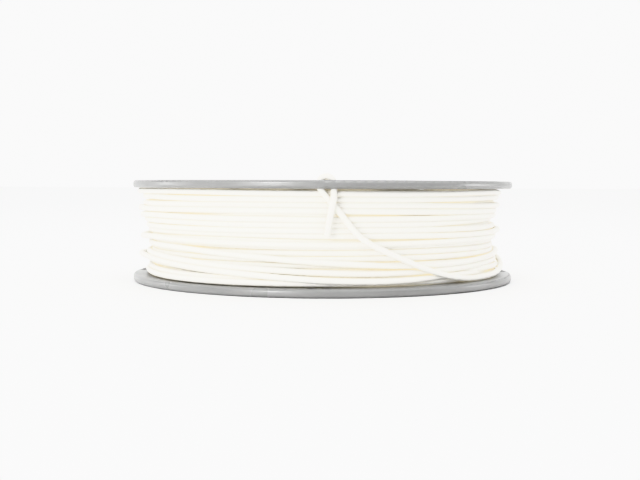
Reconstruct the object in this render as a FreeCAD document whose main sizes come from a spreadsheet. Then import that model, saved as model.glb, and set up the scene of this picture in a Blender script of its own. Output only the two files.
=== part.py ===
"""Filament spool, lying on its lower flange, in millimetres.

Origin: centre of the lower flange's outer face. +Z: the spool's axis, up. The front is towards -Y.
Two identical flange mouldings clip onto the ends of a plain core barrel with six hooks each, and their
collars form the spindle bore. One strand of flexible filament fills the barrel. Its outer end runs across
the winding, goes out through a hole in the upper flange's rim, folds over and hangs back in through the next.
"""
import FreeCAD, Part
import math
import os
import Sketcher

# The driving sizes. Each is a cell of the sheet, under the same name.
SIZES = {
    "flange_radius": 100.0,
    "spool_width": 52.0,
    "rim_height": 4.0,
    "rim_band": 8.4,
    "rim_round": 1.5,
    "web_height": 2.2,
    "land_radius": 36.0,
    "step_round": 0.4,
    "bore_radius": 26.0,
    "bore_chamfer": 0.8,
    "collar_wall": 3.4,
    "collar_length": 5.4,
    "barrel_radius": 74.5,
    "barrel_wall": 2.4,
    "hook_gap": 0.2,
    "hook_wall": 2.2,
    "hook_depth": 3.2,
    "hook_reach": 1.2,
    "hook_land": 0.8,
    "hook_tip": 1.9,
    "hook_sweep": 9.4,
    "hook_count": 6.0,
    "catch_gap": 0.1,
    "catch_height": 3.2,
    "catch_half_width": 6.4,
    "notch_half_width": 8.0,
    "notch_height": 4.2,
    "rib_half_width": 1.2,
    "rib_drop": 0.6,
    "rib_bevel": 0.3,
    "rib_count": 6.0,
    "hoop_radius": 75.5,
    "window_radius": 9.0,
    "window_place": 55.0,
    "sight_radius": 2.6,
    "sight_start": 81.5,
    "sight_end": 88.0,
    "tick_half_width": 0.3,
    "tick_start": 4.0,
    "tick_end": 7.0,
    "tick_depth": 0.4,
    "lock_place": 95.4,
    "lock_shift": 1.45,
    "lock_half_gap": 3.25,
    "lock_radius": 2.1,
    "lock_round": 0.8,
    "lock_count": 4.0,
    "filament_radius": 1.425,
    "winding_radius": 93.2,
    "winding_shift": 1.3,
}

# Gauge marks beside each sight slot, evenly spaced between the slot's ends.
TICK_COUNT = 4

# The strand's outer end, from where it leaves the winding at the back right to its cut end, each point as
# (degrees round from the front towards +X, distance from the axis, height).
TAIL_ROUTE = [
    (108.0, 93.6, 14.5),
    (97.0, 94.0, 12.8),
    (87.0, 94.4, 10.8),
    (78.5, 94.6, 8.5),
    (69.0, 94.4, 6.2),
    (58.0, 94.2, 5.5),
    (47.0, 94.3, 5.5),
    (37.5, 94.5, 7.9),
    (29.0, 94.6, 11.9),
    (20.5, 94.8, 17.7),
    (13.5, 94.9, 22.7),
    (9.4, 95.0, 27.2),
    (7.2, 95.0, 31.6),
    (4.9, 95.0, 36.7),
    (2.9, 94.9, 40.6),
    (0.8, 95.0, 44.7),
    (-1.08, 95.4, 48.6),
    (-1.08, 95.4, 51.6),
    (0.06, 95.4, 53.5),
    (1.68, 95.4, 53.5),
    (2.82, 95.5, 51.6),
    (2.82, 95.5, 48.4),
    (2.8, 97.4, 44.4),
    (2.3, 98.3, 41.0),
    (1.9, 97.9, 37.0),
    (1.5, 96.6, 32.6),
    (1.05, 95.1, 27.2),
]

# An arc of the tail takes this share of the shorter of the two runs that meet in it.
ARC_SHARE = 0.45


def driving_sheet(doc):
    """The spreadsheet that the sub-parts' expressions read."""
    sheet = doc.addObject("Spreadsheet::Sheet", "Sizes")
    for row, (name, value) in enumerate(SIZES.items(), start=1):
        sheet.set(f"A{row}", name)
        sheet.set(f"B{row}", str(value))
        sheet.setAlias(f"B{row}", name)
    doc.recompute()


def bound(words):
    """A sum of size names and plain numbers, such as "rim_height - web_height", as an expression."""
    return " ".join(f"Sizes.{word}" if word in SIZES else word for word in words.split())


def worth(words):
    """What that sum comes to."""
    total, sign = 0.0, 1
    for word in words.split():
        if word in ("+", "-"):
            sign = 1 if word == "+" else -1
        else:
            total += sign * (SIZES[word] if word in SIZES else float(word))
    return total


# Sketches


def sketch_on(body, role, name, height=None):
    """A sketch on one of the body's origin planes, or raised above it by a sum of sizes."""
    sketch = body.newObject("Sketcher::SketchObject", name)
    plane = next(item for item in body.Origin.OriginFeatures if item.Role == role)
    sketch.AttachmentSupport = [(plane, "")]
    sketch.MapMode = "FlatFace"
    if height:
        sketch.setExpression(".AttachmentOffset.Base.z", bound(height))
    return sketch


def bind(sketch, words, *constraint):
    """Adds a constraint whose value is a sum of sizes."""
    number = sketch.addConstraint(Sketcher.Constraint(*constraint, worth(words)))
    sketch.setExpression(f"Constraints[{number}]", bound(words))


def place_point(sketch, shape, end, across, up):
    """Ties one point of a shape to two sums of sizes, measured from the sketch's origin."""
    for kind, words, axis in (("DistanceX", across, -2), ("DistanceY", up, -1)):
        if words == "0":
            sketch.addConstraint(Sketcher.Constraint("PointOnObject", shape, end, axis))
        else:
            bind(sketch, words, kind, -1, 1, shape, end)


def outline(sketch, corners):
    """A closed outline of straight sides, each corner a pair of sums of sizes."""
    first = sketch.GeometryCount
    points = [FreeCAD.Vector(worth(across), worth(up), 0) for across, up in corners]
    for start, end in zip(points, points[1:] + points[:1]):
        sketch.addGeometry(Part.LineSegment(start, end))
    for i in range(len(corners)):
        following = first + (i + 1) % len(corners)
        sketch.addConstraint(Sketcher.Constraint("Coincident", first + i, 2, following, 1))
    for i, (across, up) in enumerate(corners):
        place_point(sketch, first + i, 1, across, up)


def rectangle(sketch, left, right, low, high):
    outline(sketch, [(left, low), (right, low), (right, high), (left, high)])


def circle(sketch, across, up, radius):
    centre = FreeCAD.Vector(worth(across), worth(up), 0)
    shape = sketch.addGeometry(Part.Circle(centre, FreeCAD.Vector(0, 0, 1), worth(radius)))
    place_point(sketch, shape, 3, across, up)
    bind(sketch, radius, "Radius", shape)


def long_hole(sketch, start, end, radius):
    """A slot along the sketch's X axis, its round ends centred at start and end."""
    near, far, r = worth(start), worth(end), worth(radius)
    up, quarter = FreeCAD.Vector(0, 0, 1), math.pi / 2
    near_circle = Part.Circle(FreeCAD.Vector(near, 0, 0), up, r)
    far_circle = Part.Circle(FreeCAD.Vector(far, 0, 0), up, r)
    sides = [
        Part.ArcOfCircle(near_circle, quarter, 3 * quarter),
        Part.LineSegment(FreeCAD.Vector(near, -r, 0), FreeCAD.Vector(far, -r, 0)),
        Part.ArcOfCircle(far_circle, -quarter, quarter),
        Part.LineSegment(FreeCAD.Vector(far, r, 0), FreeCAD.Vector(near, r, 0)),
    ]
    first = sketch.GeometryCount
    for side in sides:
        sketch.addGeometry(side)
    for i in range(4):
        following = first + (i + 1) % 4
        sketch.addConstraint(Sketcher.Constraint("Tangent", first + i, 2, following, 1))
    place_point(sketch, first, 3, start, "0")
    place_point(sketch, first + 2, 3, end, "0")
    bind(sketch, radius, "Radius", first)


# Features


def make_body(doc, label):
    body = doc.addObject("PartDesign::Body", label)
    body.Label = label
    return body


def make_feature(body, kind, name, sketch, sizes=(), **settings):
    """A feature of a sketch. sizes holds pairs of a property and the sum of sizes it is bound to."""
    made = body.newObject(f"PartDesign::{kind}", name)
    made.Profile = sketch
    for setting, value in settings.items():
        setattr(made, setting, value)
    for setting, words in sizes:
        made.setExpression(setting, bound(words))
    body.Document.recompute()
    return made


def repeat_around(body, made, count):
    """Repeats a feature round the spool's axis."""
    pattern = body.newObject("PartDesign::PolarPattern", f"{made.Name}_pattern")
    pattern.Originals = [made]
    axis = next(item for item in body.Origin.OriginFeatures if item.Role == "Z_Axis")
    pattern.Axis = (axis, [""])
    pattern.Angle = 360
    pattern.setExpression("Occurrences", bound(count))
    body.Tip = pattern
    body.Document.recompute()


def soften_edges(body, kind, name, size, chosen):
    """Rounds (Fillet) or bevels (Chamfer) those edges of the body so far that chosen picks."""
    base = body.Tip
    names = [f"Edge{i}" for i, edge in enumerate(base.Shape.Edges, start=1) if chosen(edge)]
    if not names:
        raise RuntimeError(f"{name} finds no edge")
    made = body.newObject(f"PartDesign::{kind}", name)
    made.Base = (base, names)
    made.setExpression("Radius" if kind == "Fillet" else "Size", bound(size))
    body.Tip = made
    body.Document.recompute()


def is_ring(edge, radius, height=None):
    """True for a circular edge of that radius, at that height if one is given."""
    if not isinstance(edge.Curve, Part.Circle) or abs(edge.Curve.Radius - worth(radius)) > 0.01:
        return False
    return height is None or abs(edge.Curve.Center.z - worth(height)) < 0.01


# The flange mouldings


def rib_section(middle):
    """The outline of a rib that stands on the web: two upright sides and a bevelled top."""
    left, right = f"{middle} - rib_half_width", f"{middle} + rib_half_width"
    top = "rim_height - rib_drop"
    return [
        (right, "web_height"),
        (right, f"{top} - rib_bevel"),
        (f"{right} - rib_bevel", top),
        (f"{left} + rib_bevel", top),
        (left, f"{top} - rib_bevel"),
        (left, "web_height"),
    ]


def turned_disc(body, label):
    """The disc with its rim band, hub land, collar and a hoop over the barrel's end, turned about the axis."""
    profile = sketch_on(body, "XZ_Plane", f"{label}_profile")
    inside = [
        ("bore_radius", "0 - collar_length"),
        ("bore_radius + collar_wall", "0 - collar_length"),
        ("bore_radius + collar_wall", "0"),
        ("flange_radius", "0"),
    ]
    outside = [
        ("flange_radius", "rim_height"),
        ("flange_radius - rim_band", "rim_height"),
        ("flange_radius - rim_band", "web_height"),
        *rib_section("hoop_radius"),
        ("land_radius", "web_height"),
        ("land_radius", "rim_height"),
        ("bore_radius", "rim_height"),
    ]
    outline(profile, inside + outside)
    axis = (profile, ["V_Axis"])
    make_feature(body, "Revolution", f"{label}_disc", profile, ReferenceAxis=axis, Angle=360)


def soften_disc(body, label):
    soften_edges(
        body, "Fillet", f"{label}_rim_rounds", "rim_round",
        lambda edge: is_ring(edge, "flange_radius"),
    )
    soften_edges(
        body, "Fillet", f"{label}_step_rounds", "step_round",
        lambda edge: is_ring(edge, "flange_radius - rim_band", "rim_height")
        or is_ring(edge, "land_radius", "rim_height"),
    )
    soften_edges(
        body, "Chamfer", f"{label}_bore_mouth", "bore_chamfer",
        lambda edge: is_ring(edge, "bore_radius", "rim_height"),
    )


def add_ribs(body, label):
    """Radial ribs on the flange's outer side, from the hub land to the rim band."""
    near, far = "land_radius - step_round", "flange_radius - rim_band + step_round"
    section = sketch_on(body, "XZ_Plane", f"{label}_rib_section", near)
    outline(section, rib_section("0"))
    length = f"{far} - land_radius + step_round"
    rib = make_feature(body, "Pad", f"{label}_rib", section, [("Length", length)])
    repeat_around(body, rib, "rib_count")


def cut_openings(body, label):
    """Round windows, sight slots with their gauge marks, and the pairs of holes that lock a loose end."""
    top = "rim_height"
    window = sketch_on(body, "XY_Plane", f"{label}_window_plan", top)
    circle(window, "window_place", "0", "window_radius")
    cut = make_feature(body, "Pocket", f"{label}_window", window, Type="ThroughAll")
    repeat_around(body, cut, "rib_count")

    sight = sketch_on(body, "XY_Plane", f"{label}_sight_plan", top)
    long_hole(sight, "sight_start", "sight_end", "sight_radius")
    cut = make_feature(body, "Pocket", f"{label}_sight", sight, Type="ThroughAll")
    repeat_around(body, cut, "rib_count")

    marks = sketch_on(body, "XY_Plane", f"{label}_tick_plan", "web_height")
    spacing = worth("sight_end - sight_start") / (TICK_COUNT - 1)
    for i in range(TICK_COUNT):
        middle = f"sight_start + {i * spacing:.4f}"
        left, right = f"{middle} - tick_half_width", f"{middle} + tick_half_width"
        rectangle(marks, left, right, "tick_start", "tick_end")
    cut = make_feature(body, "Pocket", f"{label}_tick", marks, [("Length", "tick_depth")])
    repeat_around(body, cut, "rib_count")

    locks = sketch_on(body, "XY_Plane", f"{label}_lock_plan", top)
    for side in ("-", "+"):
        circle(locks, f"lock_shift {side} lock_half_gap", "0 - lock_place", "lock_radius")
    cut = make_feature(body, "Pocket", f"{label}_lock", locks, Type="ThroughAll")
    repeat_around(body, cut, "lock_count")
    soften_edges(
        body, "Fillet", f"{label}_lock_rounds", "lock_round",
        lambda edge: is_ring(edge, "lock_radius"),
    )


def add_hooks(body, label):
    """Snap hooks that reach into the barrel and catch in its windows."""
    outer = "barrel_radius - barrel_wall - hook_gap"
    inner = f"{outer} - hook_wall"
    catch, land = "0 - hook_depth", "0 - hook_depth - hook_land"
    tip = f"{land} - hook_tip"
    profile = sketch_on(body, "XZ_Plane", f"{label}_hook_profile")
    outline(
        profile,
        [
            (inner, "0"),
            (inner, tip),
            (outer, tip),
            (f"{outer} + hook_reach", land),
            (f"{outer} + hook_reach", catch),
            (outer, catch),
            (outer, "0"),
        ],
    )
    axis = (profile, ["V_Axis"])
    hook = make_feature(
        body, "Revolution", f"{label}_hook", profile, [("Angle", "hook_sweep")],
        ReferenceAxis=axis, Midplane=True,
    )
    repeat_around(body, hook, "hook_count")


def make_flange(doc, label):
    """One flange, its inner face at height 0, its outer face above it, and its hooks below."""
    body = make_body(doc, label)
    turned_disc(body, label)
    soften_disc(body, label)
    add_ribs(body, label)
    cut_openings(body, label)
    add_hooks(body, label)
    return body


def upper_flange(doc):
    body = make_flange(doc, "upper_flange")
    body.setExpression(".Placement.Base.z", bound("spool_width - rim_height"))
    return body


def lower_flange(doc):
    """The same moulding, turned over."""
    body = make_flange(doc, "lower_flange")
    body.Placement = FreeCAD.Placement(
        FreeCAD.Vector(0, 0, 0), FreeCAD.Rotation(FreeCAD.Vector(1, 0, 0), 180)
    )
    body.setExpression(".Placement.Base.z", bound("rim_height"))
    return body


# The core


def core_barrel(doc):
    """The tube between the flanges, with a window for each hook and a notch for the strand's inner end."""
    label = "core_barrel"
    body = make_body(doc, label)
    ring = sketch_on(body, "XY_Plane", f"{label}_ring", "rim_height")
    circle(ring, "0", "0", "barrel_radius")
    circle(ring, "0", "0", "barrel_radius - barrel_wall")
    length = "spool_width - rim_height - rim_height"
    make_feature(body, "Pad", f"{label}_tube", ring, [("Length", length)])

    catches = sketch_on(body, "YZ_Plane", f"{label}_catch_plan")
    left, right = "0 - catch_half_width", "catch_half_width"
    start = "rim_height + hook_depth - catch_gap"
    rectangle(catches, left, right, start, f"{start} + catch_height")
    start = "spool_width - rim_height - hook_depth + catch_gap"
    rectangle(catches, left, right, f"{start} - catch_height", start)
    cut = make_feature(body, "Pocket", f"{label}_catch", catches, Type="ThroughAll")
    repeat_around(body, cut, "hook_count")

    notch = sketch_on(body, "XZ_Plane", f"{label}_notch_plan")
    left, right = "0 - notch_half_width", "notch_half_width"
    rectangle(notch, left, right, "rim_height", "rim_height + notch_height")
    make_feature(body, "Pocket", f"{label}_notch", notch, Type="ThroughAll")
    return body


# The filament


def filament_winding(doc):
    """The outer shape of all the strand's turns: a ring round the barrel, a little off its centre."""
    label = "filament_winding"
    outer = doc.addObject("Part::Cylinder", f"{label}_outside")
    outer.setExpression("Radius", bound("winding_radius"))
    outer.setExpression(".Placement.Base.x", bound("0 - winding_shift"))
    inner = doc.addObject("Part::Cylinder", f"{label}_inside")
    inner.setExpression("Radius", bound("barrel_radius"))
    for cylinder in (outer, inner):
        cylinder.setExpression("Height", bound("spool_width - rim_height - rim_height"))
        cylinder.setExpression(".Placement.Base.z", bound("rim_height"))
    ring = doc.addObject("Part::Cut", label)
    ring.Base, ring.Tool = outer, inner
    ring.Label = label
    return ring


def on_spool(degrees, distance, height):
    """A point so many degrees round from the front, at that distance from the axis."""
    angle = math.radians(degrees)
    return FreeCAD.Vector(distance * math.sin(angle), -distance * math.cos(angle), height)


def arc_at(before, corner, after):
    """The arc that rounds a corner of the route, as its start, middle and end, and its radius."""
    back, ahead = before - corner, after - corner
    reach = ARC_SHARE * min(back.Length, ahead.Length)
    back.normalize()
    ahead.normalize()
    half_turn = (math.pi - back.getAngle(ahead)) / 2
    radius = reach / math.tan(half_turn)
    inward = (back + ahead).normalize()
    middle = corner + inward * (radius / math.cos(half_turn) - radius)
    return corner + back * reach, middle, corner + ahead * reach, radius


def filament_tail(doc):
    """The strand from the winding to its cut end: straight runs joined by tangent arcs."""
    label = "filament_tail"
    route = [on_spool(*point) for point in TAIL_ROUTE]
    edges, radii, at = [], [], route[0]
    for before, corner, after in zip(route, route[1:], route[2:]):
        start, middle, end, radius = arc_at(before, corner, after)
        edges.append(Part.LineSegment(at, start).toShape())
        edges.append(Part.Arc(start, middle, end).toShape())
        radii.append(radius)
        at = end
    edges.append(Part.LineSegment(at, route[-1]).toShape())
    path = Part.Wire(edges)
    section = Part.Circle(route[0], route[1] - route[0], SIZES["filament_radius"])
    tube = path.makePipe(Part.Face(Part.Wire(section.toShape())))
    print(f"{label} length {path.Length:.2f} mm")
    print(f"{label} radii {' '.join(f'{radius:.1f}' for radius in radii)} mm")
    expected = math.pi * SIZES["filament_radius"] ** 2 * path.Length
    print(f"{label} volume {tube.Volume:.1f}, section times length {expected:.1f} mm3")
    made = doc.addObject("Part::Feature", label)
    made.Shape = tube
    made.Placement = FreeCAD.Placement()
    made.Label = label
    return made


def check(doc, parts):
    """Stops at any failed object, and at any sub-part that isn't one whole, valid shape."""
    for item in doc.Objects:
        if "Invalid" in item.State or "Error" in item.State:
            raise RuntimeError(f"{item.Label} failed: {item.State}")
    for part in parts:
        if part.Shape.isNull() or not part.Shape.isValid() or not part.Shape.Solids:
            raise RuntimeError(f"{part.Label} has no valid solid")


def main():
    doc = FreeCAD.newDocument("filament_spool")
    driving_sheet(doc)
    makers = (upper_flange, lower_flange, core_barrel, filament_winding, filament_tail)
    parts = [make(doc) for make in makers]
    doc.recompute()
    check(doc, parts)
    os.makedirs("parts", exist_ok=True)
    for part in parts:
        part.Shape.exportStep(f"parts/{part.Label}.step")
        size = part.Shape.BoundBox
        print(
            f"{part.Label}: {len(part.Shape.Solids)} solid, {part.Shape.Volume:.0f} mm3, "
            f"z {size.ZMin:.2f} to {size.ZMax:.2f}, {size.XLength:.2f} by {size.YLength:.2f}"
        )


main()
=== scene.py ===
"""Filament spool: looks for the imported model, in metres. Angles are in degrees from the front."""

import math

import bpy
import numpy as np
from mathutils import Matrix, Vector

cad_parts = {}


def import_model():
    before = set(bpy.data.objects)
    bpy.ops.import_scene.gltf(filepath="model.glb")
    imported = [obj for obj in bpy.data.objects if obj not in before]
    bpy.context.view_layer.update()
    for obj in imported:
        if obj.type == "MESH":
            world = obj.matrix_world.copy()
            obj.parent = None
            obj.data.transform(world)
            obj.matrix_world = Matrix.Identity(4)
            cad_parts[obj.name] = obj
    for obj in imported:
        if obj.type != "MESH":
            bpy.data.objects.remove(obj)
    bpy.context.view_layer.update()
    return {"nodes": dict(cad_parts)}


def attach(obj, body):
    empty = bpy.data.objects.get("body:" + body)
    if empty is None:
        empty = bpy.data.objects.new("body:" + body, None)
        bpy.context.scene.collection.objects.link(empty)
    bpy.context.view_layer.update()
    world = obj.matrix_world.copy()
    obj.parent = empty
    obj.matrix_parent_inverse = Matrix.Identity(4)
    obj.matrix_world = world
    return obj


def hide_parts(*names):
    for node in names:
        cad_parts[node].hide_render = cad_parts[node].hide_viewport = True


MM = 0.001

# The strand and the space that it is wound in.
STRAND = 2.85 * MM
RADIUS = STRAND / 2
WINDING_LOW, WINDING_HIGH = 4.0 * MM, 48.0 * MM
BARREL = 74.5 * MM

# The winding: seven layers from flange to flange, an eighth that ends half way down, and LAST_TURNS.
STEPS = 30  # points of the strand in each turn
START_ANGLE = 180.0  # the strand comes out of the barrel at the back
LAYER_TURNS = [12, 13, 14, 14, 14, 14, 16, 9]
TOP = len(LAYER_TURNS) - 1  # the outermost layer
LAYER_RISE = 2.25 * MM
TURN_STEP = 2.85 * MM  # from one turn to the next in the eighth layer
CLOSEST = 2.7 * MM  # soft turns press into each other a little
LOOSE_LAYERS = 3  # the outer layers, whose turns push each other about

# How the loose turns settle: their random wandering, how strongly they are drawn back out and up to where
# they were laid in each round, how strongly they straighten, and the last rounds, in which they don't.
WANDER_OUT, WANDER_UP = 0.45 * MM, 0.7 * MM
DRAWN_OUT, DRAWN_UP = 0.06, 0.04
STRAIGHTEN = 0.12
ROUNDS, LAST_ROUNDS = 160, 10

# How much nearer to the axis than even layers the outermost turns lie, in millimetres: the height, then the
# distance on the -X side and on the +X side.
WAIST = [
    (5, 1.2, 2.2),
    (9, 2.2, 1.9),
    (12, 0.9, 1.8),
    (16, 1.1, 1.6),
    (19, 1.4, 2.0),
    (22, 1.2, 2.4),
    (27, 2.0, 2.6),
    (31, -0.4, 4.0),
    (33.5, -1.0, 3.6),
    (36, -1.3, 2.0),
    (41, -1.2, 1.3),
    (48, -1.9, 0.9),
]

# The last loose turns over the lower half: the angle, counted on past -180 from turn to turn, then how much
# further out than their layer they lie and the height, in millimetres.
LAST_TURNS = [
    (180, 0.0, 21.0),
    (110, 0.0, 13.0),
    (85, 0.0, 7.5),
    (60, 0.0, 5.5),
    (36, 0.4, 5.5),
    (13, 2.0, 5.5),
    (-12, 5.0, 5.5),
    (-25, 6.4, 5.5),
    (-45, 6.2, 5.5),
    (-60, 3.6, 5.5),
    (-74, 0.8, 5.8),
    (-180, 0.0, 7.5),
    (-275, 0.0, 8.3),
    (-350, 0.8, 8.3),
    (-385, 3.8, 8.3),
    (-405, 3.8, 8.4),
    (-421, 1.6, 8.8),
    (-436, 0.2, 9.2),
    (-540, 0.0, 10.5),
    (-610, 0.0, 11.5),
    (-640, 0.0, 10.0),
    (-665, 0.8, 6.4),
    (-676, 1.6, 5.8),
    (-684, 4.0, 5.6),
    (-694, 6.0, 5.5),
    (-707, 6.6, 5.5),
    (-720, 6.6, 6.2),
    (-729, 6.2, 7.3),
    (-745, 4.8, 9.6),
    (-765, 3.4, 11.5),
    (-781, 2.0, 13.2),
    (-900, 0.0, 13.5),
    (-980, 0.0, 13.5),
    (-1010, 0.0, 10.5),
    (-1044, 1.2, 8.4),
    (-1065, 3.2, 8.8),
    (-1080, 3.4, 10.2),
    (-1105, 2.5, 12.6),
    (-1141, 1.5, 16.4),
    (-1260, 0.0, 16.5),
    (-1340, 0.0, 15.5),
    (-1380, 0.0, 12.4),
    (-1412, 1.0, 11.7),
    (-1440, 1.6, 14.9),
    (-1465, 1.2, 18.0),
    (-1486, 0.6, 19.8),
    (-1620, 0.5, 18.8),
    (-1680, 1.5, 15.8),
]

# The strand's inner end, which comes from inside the barrel through its notch: degrees, distance from the
# axis and height, in millimetres.
INNER_END = [
    (203.0, 65.9, 6.6),
    (193.5, 67.9, 6.2),
    (187.0, 70.6, 5.8),
]

# The strand's outer end: degrees, distance from the axis and height, in millimetres.
TAIL_ROUTE = [
    (108.0, 93.6, 14.5),
    (97.0, 94.0, 12.8),
    (87.0, 94.4, 10.8),
    (78.5, 94.6, 8.5),
    (69.0, 94.4, 6.2),
    (58.0, 94.2, 5.5),
    (47.0, 94.3, 5.5),
    (37.5, 94.5, 7.9),
    (29.0, 94.6, 11.9),
    (20.5, 94.8, 17.7),
    (13.5, 94.9, 22.7),
    (9.4, 95.0, 27.2),
    (7.2, 95.0, 31.6),
    (4.9, 95.0, 36.7),
    (2.9, 94.9, 40.6),
    (0.8, 95.0, 44.7),
    (-1.08, 95.4, 48.6),
    (-1.08, 95.4, 51.6),
    (0.06, 95.4, 53.5),
    (1.68, 95.4, 53.5),
    (2.82, 95.5, 51.6),
    (2.82, 95.5, 48.4),
    (2.8, 97.4, 44.4),
    (2.3, 98.3, 41.0),
    (1.9, 97.9, 37.0),
    (1.5, 96.6, 32.6),
    (1.05, 95.1, 27.2),
]

CROSSING_SPOTS = 16  # how many of those points lie on the winding, from the first on
TAIL_GAP = 0.97  # strand widths from the middle of the tail to the middle of a turn under it
FAR_OUT = 200.0  # the limit, in millimetres, at angles that the tail doesn't cross

# Slack places where one turn stands out from the rest: height and distance from the axis in millimetres,
# the angle of its middle and its spread in degrees, and how far it climbs there in millimetres.
SLACK = [
    (46.5, 96.8, -80, 12, 0.0),
    (38.1, 96.6, -80, 11, 0.0),
    (34.0, 95.4, -80, 11, 0.0),
    (22.9, 96.0, -80, 9, 1.2),
    (14.2, 96.9, -80, 9, 0.0),
    (45.6, 93.2, 80, 12, 1.2),
    (39.7, 92.4, 80, 12, 0.0),
    (27.2, 93.3, 80, 10, -1.0),
    (16.7, 91.8, 80, 10, 0.0),
]

# How bright the light tent is round the spool, straight behind it and overhead.
TENT_ROUND, TENT_WALL, TENT_ROOF = 0.4, 1.85, 1.9

# The camera: its lens and sensor in millimetres, its place, and its downward tilt and roll in degrees.
LENS, SENSOR = 54.96, 36.0
EYE = (-1.3 * MM, -525.2 * MM, 49.51 * MM)
LOOK_DOWN, ROLL = 3.2, 0.226


def polar(angle, reach, height):
    """The point at that angle from the front, distance from the axis and height."""
    turn = math.radians(angle)
    return Vector((reach * math.sin(turn), -reach * math.cos(turn), height))


def wander(count, random, size, waves=8):
    """Smooth random wandering along the strand, about as large as size."""
    turn = np.arange(count) / STEPS
    total = np.zeros(count)
    for _ in range(waves):
        pace = random.uniform(0.4, 2.6)  # waves in each turn
        total += np.sin(2 * math.pi * (pace * turn + random.uniform()))
    return size * total * math.sqrt(2.0 / waves)


def layer_levels(turns):
    """How many turns up its layer each point is: level in front, with the step up at the back."""
    done = np.arange(round(STEPS * turns)) / STEPS
    whole = np.floor(done)
    levels = whole + np.interp(done - whole, [0.0, 0.12, 0.88, 1.0], [-0.5, 0.0, 0.0, 0.5])
    return np.clip(levels, 0.0, math.ceil(turns) - 1.0)


def neat_turns():
    """Angle, distance and height of every point of the strand, and its layer, before they settle."""
    low, high = WINDING_LOW + RADIUS, WINDING_HIGH - RADIUS
    height, layers = [], []
    for layer, turns in enumerate(LAYER_TURNS):
        levels = layer_levels(turns)
        step = TURN_STEP if layer == TOP else (high - low) / (turns - 1)
        height.append(high - step * levels if layer % 2 else low + step * levels)
        layers.append(np.full(len(levels), layer))
    route = np.array(LAST_TURNS)[::-1]
    count = round((START_ANGLE - route[0, 0]) * STEPS / 360.0) + 1
    down = START_ANGLE - 360.0 / STEPS * np.arange(count)
    height.append(np.interp(down, route[:, 0], route[:, 2]) * MM)
    layers.append(np.full(count, TOP))
    height, layers = np.concatenate(height), np.concatenate(layers)
    angle = START_ANGLE - 360.0 / STEPS * np.arange(len(height))
    heights, left, right = np.array(WAIST).T
    side = 0.5 + 0.5 * np.sin(np.radians(angle))
    at_left = np.interp(height / MM, heights, left)
    at_right = np.interp(height / MM, heights, right)
    waist = (1.0 - side) * at_left + side * at_right
    reach = BARREL + RADIUS + LAYER_RISE * layers - waist * MM * layers / TOP
    reach[-count:] += np.interp(down, route[:, 0], route[:, 1]) * MM
    return angle, reach, height, layers


def push_apart(reach, height):
    """Moves points of neighbouring turns that are closer than a strand's width half of the way apart."""
    turns = -(-len(reach) // STEPS)
    spots = np.repeat(np.arange(1.0, turns * STEPS + 1)[:, None], 2, axis=1)
    spots[: len(reach)] = np.stack([reach, height], 1)
    spots = spots.reshape(turns, STEPS, 2)
    away = spots[:, None] - spots[None, :]
    far = np.linalg.norm(away, axis=-1) + np.eye(turns)[:, :, None]
    lap = np.clip(CLOSEST - far, 0.0, None)
    moved = (0.5 * lap / far)[..., None] * away
    moved = moved.sum(1).reshape(-1, 2)[: len(reach)]
    return moved[:, 0], moved[:, 1]


def settle(angle, reach, height, layers, random):
    """Lets the outer turns wander and push each other apart, between the flanges and under the tail."""
    first = np.searchsorted(layers, TOP - LOOSE_LAYERS)
    crossing = np.array(TAIL_ROUTE)[CROSSING_SPOTS - 1 :: -1]
    over = np.arange(crossing[-1, 0], crossing[0, 0], -360.0 / STEPS)
    tail_reach = np.interp(over, crossing[:, 0], crossing[:, 1]) * MM
    tail_height = np.interp(over, crossing[:, 0], crossing[:, 2]) * MM
    bearing = (angle[first:] + 180.0) % 360.0 - 180.0
    clear = np.interp(bearing, crossing[:, 0], crossing[:, 1], left=FAR_OUT, right=FAR_OUT) * MM
    under = clear - TAIL_GAP * STRAND
    crossed = np.interp(bearing, crossing[:, 0], crossing[:, 2]) * MM
    loose = layers[first:] > TOP - LOOSE_LAYERS
    home_reach = reach[first:] + loose * wander(len(bearing), random, WANDER_OUT)
    home_height = height[first:] + loose * wander(len(bearing), random, WANDER_UP)
    out, up = home_reach.copy(), home_height.copy()
    for step in range(ROUNDS):
        out += loose * DRAWN_OUT * (home_reach - out)
        up += loose * DRAWN_UP * (home_height - up)
        aside, along = push_apart(np.append(out, tail_reach), np.append(up, tail_height))
        out += loose * aside[: len(out)]
        up += loose * along[: len(up)]
        up = np.clip(up, WINDING_LOW + RADIUS, WINDING_HIGH - RADIUS)
        out = np.where(np.abs(up - crossed) < 2 * STRAND, np.minimum(out, under), out)
        if step < ROUNDS - LAST_ROUNDS:
            for line in (out, up):
                line[1:-1] += STRAIGHTEN * (line[:-2] + line[2:] - 2 * line[1:-1]) * loose[1:-1]
    reach, height = reach.copy(), height.copy()
    reach[first:], height[first:] = out, up
    return reach, height


def add_slack(angle, reach, height, layers):
    """Brings the turn that lies nearest to each slack place to it."""
    bearing = (angle + 180.0) % 360.0 - 180.0
    for place, out, middle, spread, climb in SLACK:
        here = (np.abs(bearing - middle) <= 180.0 / STEPS) & (layers == TOP)
        miss = np.where(here, np.abs(height - place * MM), np.inf)
        chosen = np.argmin(miss)
        along = (angle[chosen] - angle) / spread
        near = np.exp(-(along**2))
        reach = reach + (out * MM - reach[chosen]) * near
        height = height + (place * MM - height[chosen] + climb * MM * along) * near
    return reach, height


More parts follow.
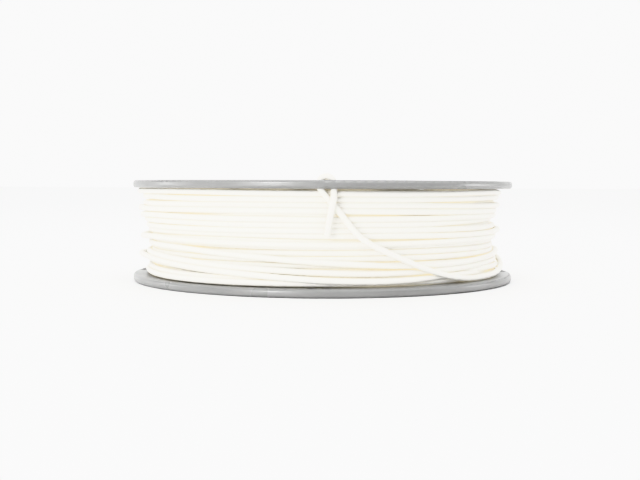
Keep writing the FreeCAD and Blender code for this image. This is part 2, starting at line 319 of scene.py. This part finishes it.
def strand_points():
    """Control points of the whole strand, from its inner end to its cut outer end."""
    random = np.random.default_rng(7)
    angle, reach, height, layers = neat_turns()
    reach, height = settle(angle, reach, height, layers, random)
    reach, height = add_slack(angle, reach, height, layers)
    hidden = layers <= TOP - LOOSE_LAYERS
    kept = ~hidden | (np.arange(len(angle)) % 2 == 0)  # half as many points do for the hidden layers
    reach = reach / np.cos(math.pi / STEPS * np.where(hidden, 2, 1))  # the spline runs inside its points
    wound = [polar(*spot) for spot in zip(angle[kept], reach[kept], height[kept])]
    inner = [polar(angle, reach * MM, height * MM) for angle, reach, height in INNER_END]
    outer = [polar(angle, reach * MM, height * MM) for angle, reach, height in TAIL_ROUTE]
    return inner + wound + outer


def filament_strand():
    """The one strand of filament, as a NURBS tube with all its turns."""
    points = strand_points()
    curve = bpy.data.curves.new("filament_strand", "CURVE")
    curve.dimensions = "3D"
    spline = curve.splines.new("NURBS")
    spline.points.add(len(points) - 1)
    for point, place in zip(spline.points, points):
        point.co = (*place, 1.0)
        point.radius = RADIUS
    spline.order_u = 3
    spline.use_endpoint_u = True
    spline.resolution_u = 3
    curve.bevel_depth = 1.0  # times each point's radius
    curve.bevel_resolution = 4
    curve.use_fill_caps = True
    strand = bpy.data.objects.new("filament_strand", curve)
    bpy.context.scene.collection.objects.link(strand)
    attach(strand, "root")
    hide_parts("filament_winding", "filament_tail")
    return strand


def plain_material(name, colour, roughness):
    """A plastic with those constant values."""
    material = bpy.data.materials.new(name)
    material.use_nodes = True
    shader = material.node_tree.nodes["Principled BSDF"]
    shader.inputs["Base Color"].default_value = (*colour, 1.0)
    shader.inputs["Roughness"].default_value = roughness
    return material


def ramp(nodes, links, value, edges, levels):
    """A smooth step of that value from one level to another between two edges."""
    step = nodes.new("ShaderNodeMapRange")
    step.interpolation_type = "SMOOTHSTEP"
    step.inputs["From Min"].default_value = edges[0]
    step.inputs["From Max"].default_value = edges[1]
    step.inputs["To Min"].default_value = levels[0]
    step.inputs["To Max"].default_value = levels[1]
    links.new(value, step.inputs["Value"])
    return step.outputs["Result"]


def moulded_plastic(name, dark, light):
    """Satin moulded plastic, faintly cloudy between those two colours, with a fine grain."""
    material = plain_material(name, light, 0.33)
    nodes, links = material.node_tree.nodes, material.node_tree.links
    shader = nodes["Principled BSDF"]
    place = nodes.new("ShaderNodeTexCoord")
    cloud = nodes.new("ShaderNodeTexNoise")
    cloud.inputs["Scale"].default_value = 45.0
    cloud.inputs["Detail"].default_value = 0.5
    links.new(place.outputs["Object"], cloud.inputs["Vector"])
    shade = nodes.new("ShaderNodeValToRGB")
    shade.color_ramp.elements[0].position = 0.3
    shade.color_ramp.elements[0].color = (*dark, 1.0)
    shade.color_ramp.elements[1].position = 0.7
    shade.color_ramp.elements[1].color = (*light, 1.0)
    links.new(cloud.outputs["Fac"], shade.inputs["Fac"])
    links.new(shade.outputs["Color"], shader.inputs["Base Color"])
    shader.inputs["Specular IOR Level"].default_value = 0.8
    sheen = ramp(nodes, links, cloud.outputs["Fac"], (0.3, 0.7), (0.27, 0.39))
    links.new(sheen, shader.inputs["Roughness"])
    grain = nodes.new("ShaderNodeTexNoise")
    grain.inputs["Scale"].default_value = 1800.0
    links.new(place.outputs["Object"], grain.inputs["Vector"])
    relief = nodes.new("ShaderNodeBump")
    relief.inputs["Strength"].default_value = 0.08
    relief.inputs["Distance"].default_value = 0.05 * MM
    links.new(grain.outputs["Fac"], relief.inputs["Height"])
    links.new(relief.outputs["Normal"], shader.inputs["Normal"])
    return material


def filament_material():
    """Soft translucent off-white plastic, with painted warm shade and a painted warm glow in the crevices
    between turns, standing in for light that reaches them only through other turns.
    """
    material = plain_material("filament", (0.93, 0.915, 0.87), 0.42)
    nodes, links = material.node_tree.nodes, material.node_tree.links
    shader = nodes["Principled BSDF"]
    shader.inputs["IOR"].default_value = 1.45
    # Painted shade: where occlusion is deep, in the crevices between turns, the base colour turns darker
    # and warmer.
    shelter = nodes.new("ShaderNodeAmbientOcclusion")
    shelter.samples = 8
    shelter.inputs["Distance"].default_value = 4.0 * MM
    painted_crevice_shade = nodes.new("ShaderNodeValToRGB")
    painted_crevice_shade.color_ramp.elements[0].position = 0.0
    painted_crevice_shade.color_ramp.elements[0].color = (0.81, 0.78, 0.70, 1.0)
    painted_crevice_shade.color_ramp.elements[1].position = 0.25
    painted_crevice_shade.color_ramp.elements[1].color = (0.81, 0.80, 0.765, 1.0)
    links.new(shelter.outputs["AO"], painted_crevice_shade.inputs["Fac"])
    links.new(painted_crevice_shade.outputs["Color"], shader.inputs["Base Color"])
    # Painted light: the crevices between turns give off a warm emission, stronger in random patches, so
    # they glow though nothing there is a lamp.
    patches = nodes.new("ShaderNodeTexNoise")
    patches.inputs["Scale"].default_value = 28.0
    place = nodes.new("ShaderNodeTexCoord")
    links.new(place.outputs["Object"], patches.inputs["Vector"])
    painted_crevice_glow = nodes.new("ShaderNodeMapRange")
    painted_crevice_glow.inputs["From Max"].default_value = 0.22
    painted_crevice_glow.inputs["To Max"].default_value = 0.0
    deepest = ramp(nodes, links, patches.outputs["Fac"], (0.42, 0.6), (0.16, 0.42))
    links.new(deepest, painted_crevice_glow.inputs["To Min"])
    links.new(shelter.outputs["AO"], painted_crevice_glow.inputs["Value"])
    shader.inputs["Emission Color"].default_value = (1.0, 0.88, 0.62, 1.0)
    links.new(painted_crevice_glow.outputs["Result"], shader.inputs["Emission Strength"])
    return material


def paint(thing, material):
    """Gives the object that material alone."""
    thing.data.materials.clear()
    thing.data.materials.append(material)


def camera():
    """The front view: from just under the upper flange's height, a little to the left of centre."""
    lens = bpy.data.cameras.new("camera")
    lens.sensor_width = SENSOR
    lens.lens = LENS
    eye = bpy.data.objects.new("camera", lens)
    bpy.context.scene.collection.objects.link(eye)
    place = Matrix.Translation(EYE)
    tilt = Matrix.Rotation(math.radians(90.0 - LOOK_DOWN), 4, "X")
    roll = Matrix.Rotation(math.radians(ROLL), 4, "Z")
    eye.matrix_world = place @ tilt @ roll
    bpy.context.scene.camera = eye


def area_light(name, place, size, power):
    """A square soft light that faces the spool."""
    lamp = bpy.data.lights.new(name, "AREA")
    lamp.size = size
    lamp.energy = power
    light = bpy.data.objects.new(name, lamp)
    light.location = place
    aim = Vector((0.0, 0.0, 0.026)) - light.location
    light.rotation_euler = aim.to_track_quat("-Z", "Y").to_euler()
    bpy.context.scene.collection.objects.link(light)


def tent():
    """A light tent all round, which is brightest straight behind the spool and overhead."""
    world = bpy.data.worlds.new("tent")
    world.use_nodes = True
    nodes, links = world.node_tree.nodes, world.node_tree.links
    way = nodes.new("ShaderNodeTexCoord")
    parts = nodes.new("ShaderNodeSeparateXYZ")
    total = nodes.new("ShaderNodeMath")
    total.operation = "MAXIMUM"
    links.new(way.outputs["Generated"], parts.inputs["Vector"])
    wall = ramp(nodes, links, parts.outputs["Y"], (0.3, 0.85), (TENT_ROUND, TENT_WALL))
    roof = ramp(nodes, links, parts.outputs["Z"], (0.2, 0.75), (TENT_ROUND, TENT_ROOF))
    links.new(wall, total.inputs[0])
    links.new(roof, total.inputs[1])
    sky = nodes["Background"]
    sky.inputs["Color"].default_value = (1.0, 1.0, 1.0, 1.0)
    links.new(total.outputs["Value"], sky.inputs["Strength"])
    bpy.context.scene.world = world


def studio():
    """A white floor in the tent, with soft lamps over it and round it."""
    bpy.ops.mesh.primitive_plane_add(size=40.0, location=(0.0, 0.0, -0.1 * MM))
    floor = bpy.context.object
    floor.name = "floor"
    paint(floor, plain_material("floor_white", (0.9, 0.9, 0.9), 0.6))
    tent()
    area_light("top", (0.0, 0.1, 1.4), 1.2, 6.0)
    area_light("left", (-1.45, 0.2, 0.12), 0.6, 6.0)
    area_light("right", (1.45, 0.2, 0.12), 0.6, 8.5)
    area_light("front", (-0.75, -1.35, 0.4), 0.6, 18.0)
    bpy.context.scene.view_settings.view_transform = "Khronos PBR Neutral"


def main():
    """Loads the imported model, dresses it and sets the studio."""
    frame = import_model()
    camera()
    strand = filament_strand()
    nodes = frame["nodes"]
    flange = moulded_plastic("flange_plastic", (0.18, 0.18, 0.177), (0.205, 0.205, 0.202))
    paint(nodes["upper_flange"], flange)
    paint(nodes["lower_flange"], flange)
    paint(nodes["core_barrel"], moulded_plastic("core_plastic", (0.16, 0.16, 0.158), (0.185, 0.185, 0.183)))
    paint(strand, filament_material())
    studio()


main()
